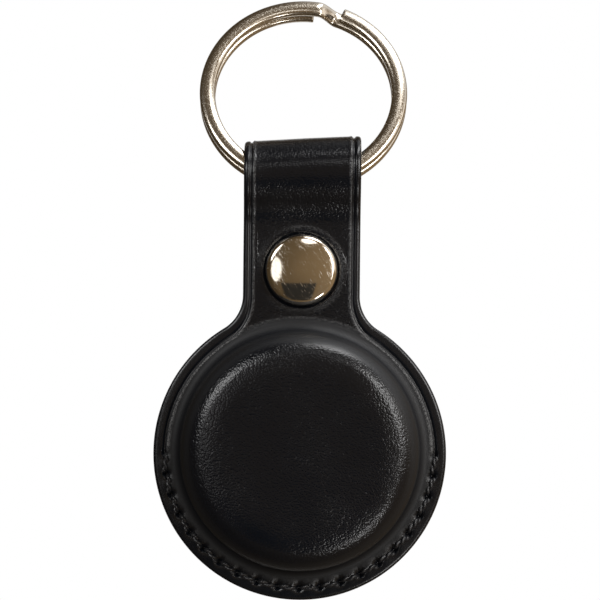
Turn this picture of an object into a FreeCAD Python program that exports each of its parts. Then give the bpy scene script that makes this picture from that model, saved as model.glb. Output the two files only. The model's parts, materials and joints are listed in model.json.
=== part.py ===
import FreeCAD, Part
import Sketcher
import math
import os

# Leather tracker tag holder: a moulded round pocket, a strap folded over a split key ring
# and closed behind by a press snap. Millimetres, +Z up, front towards -Y.
# The origin is the inside of the ring's crown, where a hook or a bag loop carries it.

doc = FreeCAD.newDocument("tracker_tag_holder")

SIZES = {
    # split ring
    "ring_diameter": 30.7,
    "wire_width": 2.3,
    "wire_thickness": 1.4,
    "wire_bevel": 0.4,
    "turn_gap": 0.45,
    "ring_lean": 23.5,
    "jog_start": 9.0,
    "jog_angle": 11.5,
    "end_gap": 3.0,
    # pocket
    "leather": 1.5,
    "tag_diameter": 31.9,
    "tag_thickness": 8.0,
    "tag_clearance": 0.3,
    "dome_wall": 1.25,
    "dome_shoulder": 3.0,
    "dome_foot": 1.3,
    "dome_draft": 5.0,
    "dome_rise": 0.5,
    "rim_width": 3.8,
    "mouth_rise": 2.2,
    "bend_relief": 0.3,
    # strap
    "strap_width": 17.0,
    "neck_radius": 5.7,
    "socket_margin": 1.0,
    "cap_margin": 1.2,
    "loop_clearance": 0.2,
    "bend_length": 8.0,
    "tail_overlap": 6.5,
    "tail_corner": 6.0,
    "tail_tuck": 0.25,
    # seam
    "stitch_inset": 1.75,
    "stitch_count": 20.0,
    "thread": 0.6,
    "thread_clearance": 0.1,
    "thread_sink": 0.05,
    # press snap
    "metal": 0.32,
    "clench": 0.24,
    "part_gap": 0.05,
    "cap_diameter": 10.4,
    "cap_sink": 0.3,
    "cap_side": 0.9,
    "cap_curl": 0.5,
    "cap_shoulder": 0.9,
    "cap_crown": 14.0,
    "cap_fold": 1.0,
    "cap_post": 3.0,
    "cap_clench": 0.6,
    "socket_diameter": 8.8,
    "socket_corner": 0.5,
    "socket_play": 0.4,
    "spring_wire": 0.66,
    "spring_opening": 40.0,
    "stud_head": 3.8,
    "stud_neck": 3.2,
    "stud_edge": 0.2,
    "stud_flange": 8.4,
    "stud_play": 0.1,
    "rivet_post": 2.3,
    "rivet_clench": 0.3,
    "rivet_flange": 7.8,
    "rivet_height": 0.6,
}

sheet = doc.addObject("Spreadsheet::Sheet", "Sizes")
for row, (name, number) in enumerate(SIZES.items(), start=1):
    sheet.set(f"A{row}", name)
    sheet.set(f"B{row}", str(number))
    sheet.setAlias(f"B{row}", name)
doc.recompute()


class Size:
    """A length or angle that carries both its number and the sheet formula that gives it."""

    def __init__(self, value, formula):
        self.value = value
        self.formula = formula

    def __add__(self, other):
        other = as_size(other)
        return Size(self.value + other.value, f"({self.formula} + {other.formula})")

    def __sub__(self, other):
        other = as_size(other)
        return Size(self.value - other.value, f"({self.formula} - {other.formula})")

    def __mul__(self, other):
        other = as_size(other)
        return Size(self.value * other.value, f"({self.formula} * {other.formula})")

    def __truediv__(self, other):
        other = as_size(other)
        return Size(self.value / other.value, f"({self.formula} / {other.formula})")

    def __neg__(self):
        return Size(-self.value, f"(0 - {self.formula})")

    def __rsub__(self, other):
        return as_size(other) - self


def as_size(number):
    return number if isinstance(number, Size) else Size(float(number), f"{float(number)}")


def size(name):
    return Size(sheet.get(name), f"Sizes.{name}")


def root(area):
    return Size(math.sqrt(area.value), f"sqrt({area.formula})")


def sine(angle):
    return Size(math.sin(math.radians(angle.value)), f"sin({angle.formula})")


def cosine(angle):
    return Size(math.cos(math.radians(angle.value)), f"cos({angle.formula})")


def bind(item, prop, amount):
    item.setExpression(prop, as_size(amount).formula)


# Shared sizes that several pieces take their place from

leather = size("leather")
metal = size("metal")
part_gap = size("part_gap")
ring_outer = size("ring_diameter") / 2
ring_inner = ring_outer - size("wire_width")
ring_depth = size("wire_thickness") * 2 + size("turn_gap")
strap_half = size("strap_width") / 2

# The wire bows up through the width of the strap, so the fold is wide enough for that bow
# to turn all the way round in it.
wire_rise = ring_outer - root(ring_inner * ring_inner - strap_half * strap_half)
wire_sweep = root(wire_rise * wire_rise / 4 + ring_depth * ring_depth / 4)
loop_inner = wire_sweep + size("loop_clearance")
ring_seat = ring_outer - wire_rise / 2

# The snap's parts stack up behind the front leaf: the socket's floor, the cap rivet's clench,
# the stud's head, the spring behind that head, the socket's lip and the stud's flange.
clench_start = metal + part_gap
clench_end = clench_start + size("clench")
stud_top = clench_end + part_gap * 2
head_under = stud_top + size("stud_edge")
spring_wire = size("spring_wire") / 2
spring_depth = head_under + part_gap + spring_wire
socket_height = spring_depth + spring_wire + part_gap + metal
snap_gap = socket_height + size("stud_play") + metal
loop_middle = snap_gap / 2
hinge_depth = loop_middle + loop_inner + leather / 2

# The pocket fits its tag, the snap stands above the pocket's edge and the fold above the snap
pocket_inner = size("tag_diameter") / 2 + size("tag_clearance")
pocket_outer = pocket_inner + size("dome_wall")
pocket_radius = pocket_outer + size("rim_width")
pocket_depth = size("tag_thickness") + size("tag_clearance")
mouth_rise = size("mouth_rise")
snap_rise = pocket_radius + size("socket_margin") + size("socket_diameter") / 2
loop_rise = snap_rise + size("cap_diameter") / 2 + size("cap_margin") + size("bend_length")

# The pocket's own frame: its middle, on the face where front and back leather meet
ring_drop = ring_inner + ring_seat
holder_y = -ring_drop * sine(size("ring_lean")) - loop_middle
holder_z = -ring_drop * cosine(size("ring_lean")) - loop_rise


class Outline:
    """A closed sketch outline, drawn corner by corner. Every corner is bound to the sheet."""

    def __init__(self, across, up):
        self.start = (as_size(across), as_size(up))
        self.steps = []

    def line(self, across, up):
        self.steps.append((as_size(across), as_size(up), None, 0))
        return self

    def arc(self, across, up, radius, turn):
        """An arc of under a half circle; turn is 1 anticlockwise and -1 clockwise."""
        self.steps.append((as_size(across), as_size(up), as_size(radius), turn))
        return self

    def curve(self, across, up, radius, first, last, flats):
        """A rounding about a middle point, from one clock angle to another, as narrow flats: on
        turned pieces they keep the meshes light. At 0 degrees it points along up, at 90 across."""
        first, last = as_size(first), as_size(last)
        for step in range(1, flats + 1):
            angle = first + (last - first) * (step / flats)
            self.line(across + radius * sine(angle), up + radius * cosine(angle))
        return self

    def close(self):
        return self.line(*self.start)


def arc_edge(begin, end, radius, turn):
    """The arc from begin to end, and which of its ends each of them is."""
    chord = end - begin
    reach = math.sqrt(max(radius * radius - chord.Length ** 2 / 4, 0.0))
    side = FreeCAD.Vector(-chord.y, chord.x, 0).normalize()
    middle = begin + chord / 2 + side * (reach * turn)
    circle = Part.Circle(middle, FreeCAD.Vector(0, 0, 1), radius)
    first, last = (begin, end) if turn > 0 else (end, begin)
    first_angle = math.atan2(first.y - middle.y, first.x - middle.x)
    last_angle = math.atan2(last.y - middle.y, last.x - middle.x)
    ends = (1, 2) if turn > 0 else (2, 1)
    return Part.ArcOfCircle(circle, first_angle, last_angle), ends


def sketch(body, name, plane_role, outline, shift=(0, 0), swing=0):
    """Draws an outline on a plane of the body, moved by shift and swung about its own X axis."""
    drawing = body.newObject("Sketcher::SketchObject", name)
    plane = [item for item in body.Origin.OriginFeatures if item.Role == plane_role][0]
    drawing.AttachmentSupport = (plane, [""])
    drawing.MapMode = "FlatFace"
    shift_across, shift_up, swing = (as_size(item) for item in (*shift, swing))
    drawing.AttachmentOffset = FreeCAD.Placement(
        FreeCAD.Vector(shift_across.value, shift_up.value, 0),
        FreeCAD.Rotation(FreeCAD.Vector(1, 0, 0), swing.value),
    )
    bind(drawing, "AttachmentOffset.Base.x", shift_across)
    bind(drawing, "AttachmentOffset.Base.y", shift_up)
    if swing.value:
        bind(drawing, "AttachmentOffset.Rotation.Angle", swing)
    begin = FreeCAD.Vector(outline.start[0].value, outline.start[1].value, 0)
    ends = []
    for across, up, radius, turn in outline.steps:
        end = FreeCAD.Vector(across.value, up.value, 0)
        if radius is None:
            drawing.addGeometry(Part.LineSegment(begin, end), False)
            ends.append((1, 2))
        else:
            edge, edge_ends = arc_edge(begin, end, radius.value, turn)
            drawing.addGeometry(edge, False)
            ends.append(edge_ends)
        begin = end
    count = len(outline.steps)
    for edge, (across, up, radius, turn) in enumerate(outline.steps):
        follower = (edge + 1) % count
        end = ends[edge][1]
        drawing.addConstraint(Sketcher.Constraint("Coincident", edge, end, follower, ends[follower][0]))
        for kind, amount in (("DistanceX", across), ("DistanceY", up)):
            rule = drawing.addConstraint(Sketcher.Constraint(kind, -1, 1, edge, end, amount.value))
            bind(drawing, f"Constraints[{rule}]", amount)
        if radius is not None:
            rule = drawing.addConstraint(Sketcher.Constraint("Radius", edge, radius.value))
            bind(drawing, f"Constraints[{rule}]", radius)
    return drawing


def circle_sketch(body, name, plane_role, radius, shift=(0, 0)):
    """A circle round a plane's own origin, moved by shift."""
    drawing = body.newObject("Sketcher::SketchObject", name)
    plane = [item for item in body.Origin.OriginFeatures if item.Role == plane_role][0]
    drawing.AttachmentSupport = (plane, [""])
    drawing.MapMode = "FlatFace"
    shift_across, shift_up = (as_size(item) for item in shift)
    drawing.AttachmentOffset.Base = FreeCAD.Vector(shift_across.value, shift_up.value, 0)
    bind(drawing, "AttachmentOffset.Base.x", shift_across)
    bind(drawing, "AttachmentOffset.Base.y", shift_up)
    drawing.addGeometry(Part.Circle(FreeCAD.Vector(), FreeCAD.Vector(0, 0, 1), radius.value), False)
    drawing.addConstraint(Sketcher.Constraint("Coincident", 0, 3, -1, 1))
    rule = drawing.addConstraint(Sketcher.Constraint("Radius", 0, radius.value))
    bind(drawing, f"Constraints[{rule}]", radius)
    return drawing


def new_body(label, depth=0, height=0):
    """A body in the pocket's frame, moved by depth and height in it."""
    body = doc.addObject("PartDesign::Body", label)
    body.Label = label
    bind(body, "Placement.Base.y", holder_y + depth)
    bind(body, "Placement.Base.z", holder_z + height)
    return body


def extrude(body, kind, name, drawing, length, both_ways=False, turned=False):
    """A pad or a pocket, checked for having added or taken leather or metal."""
    before = body.Shape.Volume if body.Tip else 0.0
    feature = body.newObject(f"PartDesign::{kind}", name)
    feature.Profile = drawing
    bind(feature, "Length", length)
    feature.SideType = "Symmetric" if both_ways else "One side"
    feature.Reversed = turned
    doc.recompute()
    moved = body.Shape.Volume - before
    if (moved > 0) != (kind == "Pad") or abs(moved) < 1e-6:
        raise RuntimeError(f"{name} points the wrong way")
    return feature


def revolve(body, kind, name, drawing, angle=360):
    """A revolution or a groove round the sketch's own X axis."""
    before = body.Shape.Volume if body.Tip else 0.0
    feature = body.newObject(f"PartDesign::{kind}", name)
    feature.Profile = drawing
    feature.ReferenceAxis = (drawing, ["H_Axis"])
    bind(feature, "Angle", angle)
    doc.recompute()
    moved = body.Shape.Volume - before
    if (moved > 0) != (kind == "Revolution") or abs(moved) < 1e-6:
        raise RuntimeError(f"{name} points the wrong way")
    return feature


def split_ring():
    """Two turns of flattened wire, one behind the other, joined by a jog beside the crown."""
    body = doc.addObject("PartDesign::Body", "split_ring")
    body.Label = "split_ring"
    bind(body, "Placement.Base.y", -ring_inner * sine(size("ring_lean")))
    bind(body, "Placement.Base.z", -ring_inner * cosine(size("ring_lean")))
    body.Placement.Rotation = FreeCAD.Rotation(FreeCAD.Vector(-1, 0, 0), sheet.get("ring_lean"))
    bind(body, "Placement.Rotation.Angle", size("ring_lean"))
    half_width = size("wire_width") / 2
    half_thickness = size("wire_thickness") / 2
    bevel = size("wire_bevel")
    wire_middle = ring_outer - half_width
    turn_middle = half_thickness + size("turn_gap") / 2

    def section(name, middle, clock_angle):
        left = middle - half_thickness
        right = middle + half_thickness
        low = wire_middle - half_width
        high = wire_middle + half_width
        outline = Outline(left + bevel, low).line(right - bevel, low).line(right, low + bevel)
        outline.line(right, high - bevel).line(right - bevel, high).line(left + bevel, high)
        outline.line(left, high - bevel).line(left, low + bevel).close()
        return sketch(body, name, "YZ_Plane", outline, swing=clock_angle)

    jog_end = size("jog_start") + size("jog_angle")
    rear = section("rear_wire", turn_middle, jog_end)
    turn = 360 - size("jog_angle") - size("end_gap")
    revolve(body, "Revolution", "rear_turn", rear, turn)
    front = section("front_wire", -turn_middle, jog_end + size("end_gap"))
    revolve(body, "Revolution", "front_turn", front, turn)
    jog = body.newObject("PartDesign::AdditiveLoft", "jog")
    jog.Profile = section("jog_foot", -turn_middle, size("jog_start"))
    jog.Sections = [rear]
    jog.Ruled = True
    return body


def coil_gap():
    """The least gap of the coil to itself, between points on the facing edges of wire one turn apart."""
    thickness = sheet.get("wire_thickness")
    pitch = thickness + sheet.get("turn_gap")
    edge_radius = ring_inner.value + sheet.get("wire_bevel")
    jog_foot = 360 + sheet.get("jog_start")
    jog_head = jog_foot + sheet.get("jog_angle")
    front_end = jog_head - 360 + sheet.get("end_gap")
    rear_end = jog_foot + 360 - sheet.get("end_gap")

    def point(clock_angle, radius, face):
        advance = min(max((clock_angle - jog_foot) / sheet.get("jog_angle"), 0.0), 1.0)
        turn = math.radians(clock_angle)
        return FreeCAD.Vector(radius * math.sin(turn), face + pitch * advance, radius * math.cos(turn))

    steps = 400
    wire = [front_end + (rear_end - front_end) * step / steps for step in range(steps + 1)]
    gaps = []
    for front in wire:
        for rear in wire:
            if abs(rear - front - 360) < 30:
                before = point(front, edge_radius, thickness / 2)
                behind = point(rear, edge_radius, -thickness / 2)
                gaps.append(behind.distanceToPoint(before))
    return min(gaps)


def dome_outline(outer, height, shoulder, base, flats, foot=None):
    """Half the section of the moulded dome: a flat crown, a round shoulder and a drafted wall.
    Across is the depth, forward negative, up the radius, and base is the depth at the wall's foot."""
    draft = size("dome_draft")
    lean = sine(draft) / cosine(draft)
    shoulder_depth = height - shoulder
    shoulder_radius = outer - (shoulder + shoulder_depth * sine(draft)) / cosine(draft)
    crown = base - height
    outline = Outline(crown, 0).line(crown, shoulder_radius)
    outline.curve(crown + shoulder, shoulder_radius, shoulder, -90, -draft, flats)
    if foot is None:
        overrun = leather
        outline.line(base + overrun, outer + overrun * lean).line(base + overrun, 0)
    else:
        foot_radius = outer + foot * (1 - sine(draft)) / cosine(draft)
        outline.line(base - foot * (1 - sine(draft)), foot_radius - foot * cosine(draft))
        outline.curve(base - foot, foot_radius, foot, 180 - draft, 90, 2)
        outline.line(base + leather / 2, foot_radius).line(base + leather / 2, 0)
    return outline.close()


def front_panel():
    """One piece of leather: round panel moulded into a dome, neck, strap and the fold over the ring."""
    body = new_body("front_panel")
    radius = pocket_radius
    neck = size("neck_radius")
    neck_across = strap_half + neck
    neck_rise = root((radius + neck) * (radius + neck) - neck_across * neck_across)
    touch_across = neck_across * radius / (radius + neck)
    touch_rise = neck_rise * radius / (radius + neck)
    flat_top = loop_rise - size("bend_length")
    outline = Outline(strap_half, flat_top).line(-strap_half, flat_top).line(-strap_half, neck_rise)
    outline.arc(-touch_across, touch_rise, neck, -1)
    outline.arc(0, -radius, radius, 1).arc(touch_across, touch_rise, radius, 1)
    outline.arc(strap_half, neck_rise, neck, -1).close()
    extrude(body, "Pad", "panel", sketch(body, "panel_outline", "XZ_Plane", outline), leather)

    ribbon = bend_outline(-1, snap_rise)
    extrude(body, "Pad", "strap", sketch(body, "strap_side", "YZ_Plane", ribbon), strap_half * 2, True)

    dome_centre = (0, size("dome_rise"))
    height = pocket_depth + size("dome_wall") - leather
    dome = dome_outline(pocket_outer, height, size("dome_shoulder"), -leather, 5, size("dome_foot"))
    revolve(body, "Revolution", "dome", sketch(body, "dome_section", "YZ_Plane", dome, dome_centre))
    hollow_shoulder = size("dome_shoulder") - size("dome_wall")
    hollow = dome_outline(pocket_inner, pocket_depth, hollow_shoulder, as_size(0), 4)
    revolve(body, "Groove", "pocket", sketch(body, "pocket_section", "YZ_Plane", hollow, dome_centre))

    seat_radius = size("cap_diameter") / 2 + part_gap
    post_radius = size("cap_post") / 2 + part_gap
    seat = Outline(-leather - metal, 0).line(-leather - metal, seat_radius)
    seat.line(-leather + size("cap_sink"), seat_radius).line(-leather + size("cap_sink"), post_radius)
    seat.line(leather, post_radius).line(leather, 0).close()
    revolve(body, "Groove", "snap_seat", sketch(body, "snap_seat_section", "YZ_Plane", seat, (0, snap_rise)))
    sew(body, -1)
    return body


def bend_outline(side, low):
    """The side view of a strap leaf that swells from the snap out to the fold. Side is -1 for the
    front leaf, which runs on over the ring, and 1 for the tail, which ends round at its bend."""
    shift = loop_middle + loop_inner - snap_gap
    length = size("bend_length")
    middle_radius = (length * length + shift * shift) / (shift * 4)
    tight = middle_radius - leather / 2
    wide = middle_radius + leather / 2
    bend_sine = length / (middle_radius * 2)
    bend_cosine = 1 - shift / (middle_radius * 2)
    inner_start = as_size(0) if side < 0 else snap_gap
    outer_start = inner_start + leather * side
    inner_end = inner_start + shift * side
    outer_end = outer_start + shift * side
    start_rise = loop_rise - length
    half_rise = loop_rise - length / 2
    half_middle = inner_start + (leather + shift) * (side / 2)
    inner_half = (half_middle - bend_cosine * leather * (side / 2), half_rise + bend_sine * leather / 2)
    outer_half = (half_middle + bend_cosine * leather * (side / 2), half_rise - bend_sine * leather / 2)
    outline = Outline(inner_start, low).line(inner_start, start_rise)
    outline.arc(*inner_half, wide, -side).arc(inner_end, loop_rise, tight, side)
    if side < 0:
        end_rise = leather / 2 + size("bend_relief")
        fold_outer = loop_inner + leather
        outline.arc(loop_middle, loop_rise + loop_inner, loop_inner, -1)
        outline.arc(loop_middle + root(loop_inner * loop_inner - end_rise * end_rise),
                    loop_rise + end_rise, loop_inner, -1)
        outline.line(loop_middle + root(fold_outer * fold_outer - end_rise * end_rise), loop_rise + end_rise)
        outline.arc(loop_middle, loop_rise + fold_outer, fold_outer, 1)
        outline.arc(outer_end, loop_rise, fold_outer, 1)
    else:
        outline.arc(hinge_depth, loop_rise + leather / 2, leather / 2, -1)
        outline.arc(outer_end, loop_rise, leather / 2, -1)
    outline.arc(*outer_half, wide, -side).arc(outer_start, start_rise, tight, side)
    outline.line(outer_start, low)
    if side > 0:
        end_rise = pocket_radius - size("tail_overlap")
        tucked = leather + size("tail_tuck")
        outline.line(tucked + leather, end_rise).line(tucked, end_rise)
    return outline.close()


def strap_tail():
    """The strap's free end behind, from its bend below the fold to its rounded tip."""
    body = new_body("strap_tail")
    low = snap_rise - size("stud_flange") / 2
    side = sketch(body, "tail_side", "YZ_Plane", bend_outline(1, low))
    extrude(body, "Pad", "tail", side, strap_half * 2, True)
    tip = pocket_radius - size("tail_overlap")
    corner = size("tail_corner")
    depth = snap_gap + leather * 2
    for name, hand in (("left_corner", -1), ("right_corner", 1)):
        outline = Outline(strap_half * hand, tip + corner)
        outline.arc((strap_half - corner) * hand, tip, corner, -hand)
        outline.line((strap_half - corner) * hand, tip - corner)
        outline.line((strap_half + corner) * hand, tip - corner)
        outline.line((strap_half + corner) * hand, tip + corner).close()
        drawing = sketch(body, f"{name}_outline", "XZ_Plane", outline)
        extrude(body, "Pocket", name, drawing, depth)
    hole = circle_sketch(body, "rivet_hole_outline", "XZ_Plane", size("rivet_post") / 2 + part_gap, (0, snap_rise))
    extrude(body, "Pocket", "rivet_hole", hole, depth)
    return body


def sew(body, side):
    """The seam's groove and its needle holes round the lower half. Side is -1 in front, 1 behind."""
    seam_radius = pocket_radius - size("stitch_inset")
    half_width = size("thread") / 2 + size("thread_clearance")
    face = leather * side
    bottom = face - (size("thread") + size("thread_sink") + size("thread_clearance")) * side
    beyond = face + leather * side
    groove = Outline(bottom, seam_radius - half_width).line(beyond, seam_radius - half_width)
    groove.line(beyond, seam_radius + half_width).line(bottom, seam_radius + half_width).close()
    seam_start = 90 - stitch_half_angle()
    drawing = sketch(body, "seam_section", "YZ_Plane", groove, swing=seam_start)
    revolve(body, "Groove", "seam_groove", drawing, stitch_half_angle() * 2 + 180)
    half_length = stitch_leg() + half_width
    slot = Outline(seam_radius - half_width, -half_length).line(seam_radius + half_width, -half_length)
    slot.line(seam_radius + half_width, half_length).line(seam_radius - half_width, half_length).close()
    drawing = sketch(body, "needle_hole_outline", "XZ_Plane", slot)
    hole = extrude(body, "Pocket", "needle_hole", drawing, leather * 4, True)
    holes = body.newObject("PartDesign::PolarPattern", "needle_holes")
    holes.Originals = [hole]
    holes.Axis = (drawing, ["N_Axis"])
    holes.Angle = 180
    bind(holes, "Occurrences", size("stitch_count") + 1)
    holes.Reversed = True
    body.Tip = holes
    doc.recompute()


def stitch_leg():
    """How far each of the two threads in a needle hole stands from the hole's middle."""
    return size("thread") / 2 + size("thread_clearance")


def stitch_half_angle():
    """Half of what a needle hole takes of the seam, in degrees."""
    seam_radius = pocket_radius - size("stitch_inset")
    return (stitch_leg() + size("thread") / 2 + size("thread_clearance")) / seam_radius * (180 / math.pi)


def back_panel():
    """The sewn lower part of the flat back, up to where its free upper part bends."""
    body = new_body("back_panel")
    top = mouth_rise - leather / 2 - size("bend_relief")
    half_chord = root(pocket_radius * pocket_radius - top * top)
    outline = Outline(half_chord, top).line(-half_chord, top)
    outline.arc(0, -pocket_radius, pocket_radius, 1).arc(half_chord, top, pocket_radius, 1)
    drawing = sketch(body, "back_outline", "XZ_Plane", outline)
    extrude(body, "Pad", "back", drawing, leather, turned=True)
    sew(body, 1)
    return body


def mouth_flap():
    """The free upper part of the back, which bends away to let the tag in. Its lower edge is round
    about the line that it bends on."""
    body = new_body("mouth_flap")
    edge = leather / 2
    side = Outline(0, pocket_radius).line(0, mouth_rise)
    side.arc(edge, mouth_rise - edge, edge, 1).arc(leather, mouth_rise, edge, 1)
    side.line(leather, pocket_radius).close()
    drawing = sketch(body, "flap_side", "YZ_Plane", side)
    extrude(body, "Pad", "flap", drawing, pocket_radius * 2, True)
    corner = pocket_radius * 1.5
    for name, hand in (("left_round", -1), ("right_round", 1)):
        low = mouth_rise - leather
        half_chord = root(pocket_radius * pocket_radius - low * low)
        outline = Outline(half_chord * hand, low)
        outline.arc(0, pocket_radius, pocket_radius, hand)
        outline.line(0, corner).line(corner * hand, corner).line(corner * hand, low).close()
        trim = sketch(body, f"{name}_outline", "XZ_Plane", outline)
        extrude(body, "Pocket", name, trim, leather * 4, True)
    return body


def stitches(label, side):
    """One thread of the lock stitch: a run in the seam's groove and two legs that meet the other
    thread's in the middle of the seam. Side is -1 for the front thread, 1 for the back one."""
    across = sheet.get("thread")
    seam_radius = pocket_radius.value - sheet.get("stitch_inset")
    pitch = math.pi / sheet.get("stitch_count")
    run_depth = side * (leather.value - sheet.get("thread_sink") - across / 2)
    leg_turn = stitch_leg().value / seam_radius
    sides = 4
    corner = across / 2 / math.cos(math.pi / sides)
    solids = []
    for stitch in range(int(sheet.get("stitch_count"))):
        first = math.pi + pitch * stitch + leg_turn
        last = math.pi + pitch * (stitch + 1) - leg_turn
        feet = [FreeCAD.Vector(seam_radius * math.cos(angle), 0, seam_radius * math.sin(angle))
                for angle in (first, last)]
        tops = [foot + FreeCAD.Vector(0, run_depth, 0) for foot in feet]
        route = Part.makePolygon([feet[0], tops[0], tops[1], feet[1]])
        along = (feet[1] - feet[0]).normalize()
        outward = along.cross(FreeCAD.Vector(0, 1, 0))
        rim = []
        for number in range(sides + 1):
            angle = math.pi / sides * (2 * number + 1)
            rim.append(feet[0] + along * (corner * math.cos(angle)) + outward * (corner * math.sin(angle)))
        right_corner = 1
        solids.append(route.makePipeShell([Part.makePolygon(rim)], True, False, right_corner))
    thread = doc.addObject("Part::Feature", label)
    thread.Label = label
    thread.Shape = Part.makeCompound([Part.Solid(solid) for solid in solids])
    thread.Placement.Base = FreeCAD.Vector(0, holder_y.value, holder_z.value)
    return thread


def turned(label, outline):
    """A piece of the snap, turned about the snap's own axis."""
    body = new_body(label, height=snap_rise)
    revolve(body, "Revolution", f"{label}_turning", sketch(body, f"{label}_section", "YZ_Plane", outline))
    return body


def snap_cap():
    """The polished cap in front: a low crown, a rounded shoulder and an edge folded in behind."""
    base = -leather + size("cap_sink")
    radius = size("cap_diameter") / 2
    side = size("cap_side")
    shoulder = size("cap_shoulder")
    crown_angle = size("cap_crown")
    crown_edge = radius - shoulder * (1 - sine(crown_angle))
    crown_start = side + shoulder * cosine(crown_angle)
    crown_radius = crown_edge / sine(crown_angle)
    apex = crown_start + crown_radius * (1 - cosine(crown_angle))
    curl = size("cap_curl")
    fold = radius - size("cap_fold")
    crown_middle = (base - apex + crown_radius, as_size(0))
    shoulder_middle = (base - side, radius - shoulder)
    outline = Outline(base, fold).line(base, radius - curl)
    outline.curve(base - curl, radius - curl, curl, 90, 0, 1)
    outline.line(base - side, radius).curve(*shoulder_middle, shoulder, 0, crown_angle - 90, 3)
    outline.curve(*crown_middle, crown_radius, crown_angle - 90, -90, 2)
    outline.line(base - crown_start + metal, 0).line(base - crown_start + metal, radius - shoulder)
    outline.line(base - side, radius - metal).line(base - metal, radius - metal).line(base - metal, fold).close()
    return turned("snap_cap", outline)


def cap_rivet():
    """The cap's tubular rivet: a head held in the cap's folded edge, and a post through the strap
    that is clenched over the socket's floor."""
    head_back = -leather + size("cap_sink") - metal - part_gap
    head_radius = size("cap_diameter") / 2 - metal - part_gap
    post = size("cap_post") / 2
    bore = post - metal
    clench = post + size("cap_clench")
    outline = Outline(head_back - metal, 0).line(head_back - metal, head_radius)
    outline.line(head_back, head_radius).line(head_back, post).line(clench_start, post)
    outline.line(clench_start, clench).line(clench_end, clench).line(clench_end, bore)
    outline.line(head_back - metal / 2, bore).line(head_back - metal / 2, 0).close()
    return turned("cap_rivet", outline)


def snap_socket():
    """The female half behind the front leaf: a drawn cup with a floor, a wall and a lip."""
    radius = size("socket_diameter") / 2
    height = socket_height
    corner = size("socket_corner")
    mouth = size("stud_head") / 2 + size("socket_play")
    hole = size("cap_post") / 2 + part_gap
    outline = Outline(0, hole).line(metal, hole).line(metal, radius - metal)
    outline.line(height - corner, radius - metal)
    outline.curve(height - corner, radius - corner, corner - metal, 0, 90, 1)
    outline.line(height - metal, mouth).line(height, mouth).line(height, radius - corner)
    outline.curve(height - corner, radius - corner, corner, 90, 0, 2).line(0, radius).close()
    return turned("snap_socket", outline)


def socket_spring():
    """The open wire ring inside the socket that grips the stud behind its head."""
    body = new_body("socket_spring", height=snap_rise)
    radius = size("stud_neck") / 2 + part_gap + spring_wire
    outline = Outline(spring_depth, radius + spring_wire)
    outline.curve(spring_depth, radius, spring_wire, 0, 360, 6)
    opening = size("spring_opening")
    drawing = sketch(body, "spring_section", "YZ_Plane", outline, swing=opening / 2)
    revolve(body, "Revolution", "spring_turning", drawing, 360 - opening)
    return body


def snap_stud():
    """The male half on the tail: a flange and a hollow knob with a waist behind its head."""
    flange_front = snap_gap - metal
    neck = size("stud_neck") / 2
    head = size("stud_head") / 2
    edge = size("stud_edge")
    bore = size("rivet_post") / 2 + part_gap
    sinking = size("rivet_post") / 2 + size("rivet_clench") + part_gap
    floor = stud_top + size("clench") + part_gap
    outline = Outline(snap_gap, bore).line(floor, bore).line(floor, sinking).line(stud_top, sinking)
    outline.line(stud_top, head - edge).curve(head_under, head - edge, edge, -90, 0, 2)
    outline.line(head_under, neck).line(flange_front, neck)
    outline.line(flange_front, size("stud_flange") / 2).line(snap_gap, size("stud_flange") / 2).close()
    return turned("snap_stud", outline)


def stud_rivet():
    """The tail's tubular rivet: a rounded ring of a head behind, its post clenched in the knob."""
    post = size("rivet_post") / 2
    bore = post - metal
    clench = post + size("rivet_clench")
    clench_floor = stud_top + size("clench")
    back = snap_gap + leather
    crown = back + size("rivet_height")
    radius = size("rivet_flange") / 2
    edge = size("rivet_height") - part_gap
    outline = Outline(stud_top, bore).line(stud_top, clench).line(clench_floor, clench)
    outline.line(clench_floor, post).line(back, post).line(back, radius).line(crown - edge, radius)
    outline.curve(crown - edge, radius - edge, edge, 0, 90, 2).line(crown, bore).close()
    return turned("stud_rivet", outline)


parts = [
    split_ring(),
    front_panel(),
    back_panel(),
    mouth_flap(),
    strap_tail(),
    stitches("needle_thread", -1),
    stitches("bobbin_thread", 1),
    snap_cap(),
    cap_rivet(),
    snap_socket(),
    socket_spring(),
    snap_stud(),
    stud_rivet(),
]
doc.recompute()

for item in doc.Objects:
    if "Invalid" in item.State or "Error" in item.State:
        raise RuntimeError(f"{item.Label} failed: {item.State}")
for piece in parts:
    if piece.Shape.isNull() or not piece.Shape.isValid():
        raise RuntimeError(f"{piece.Label} has no sound shape")

print(f"split_ring: least gap to itself {coil_gap():.3f} mm")
os.makedirs("parts", exist_ok=True)
for piece in parts:
    piece.Shape.exportStep(f"parts/{piece.Label}.step")
    box = piece.Shape.BoundBox
    print(f"{piece.Label}: {len(piece.Shape.Solids)} solids, {piece.Shape.Volume:.2f} mm3, "
          f"x {box.XMin:.2f}..{box.XMax:.2f} y {box.YMin:.2f}..{box.YMax:.2f} z {box.ZMin:.2f}..{box.ZMax:.2f}")
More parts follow.
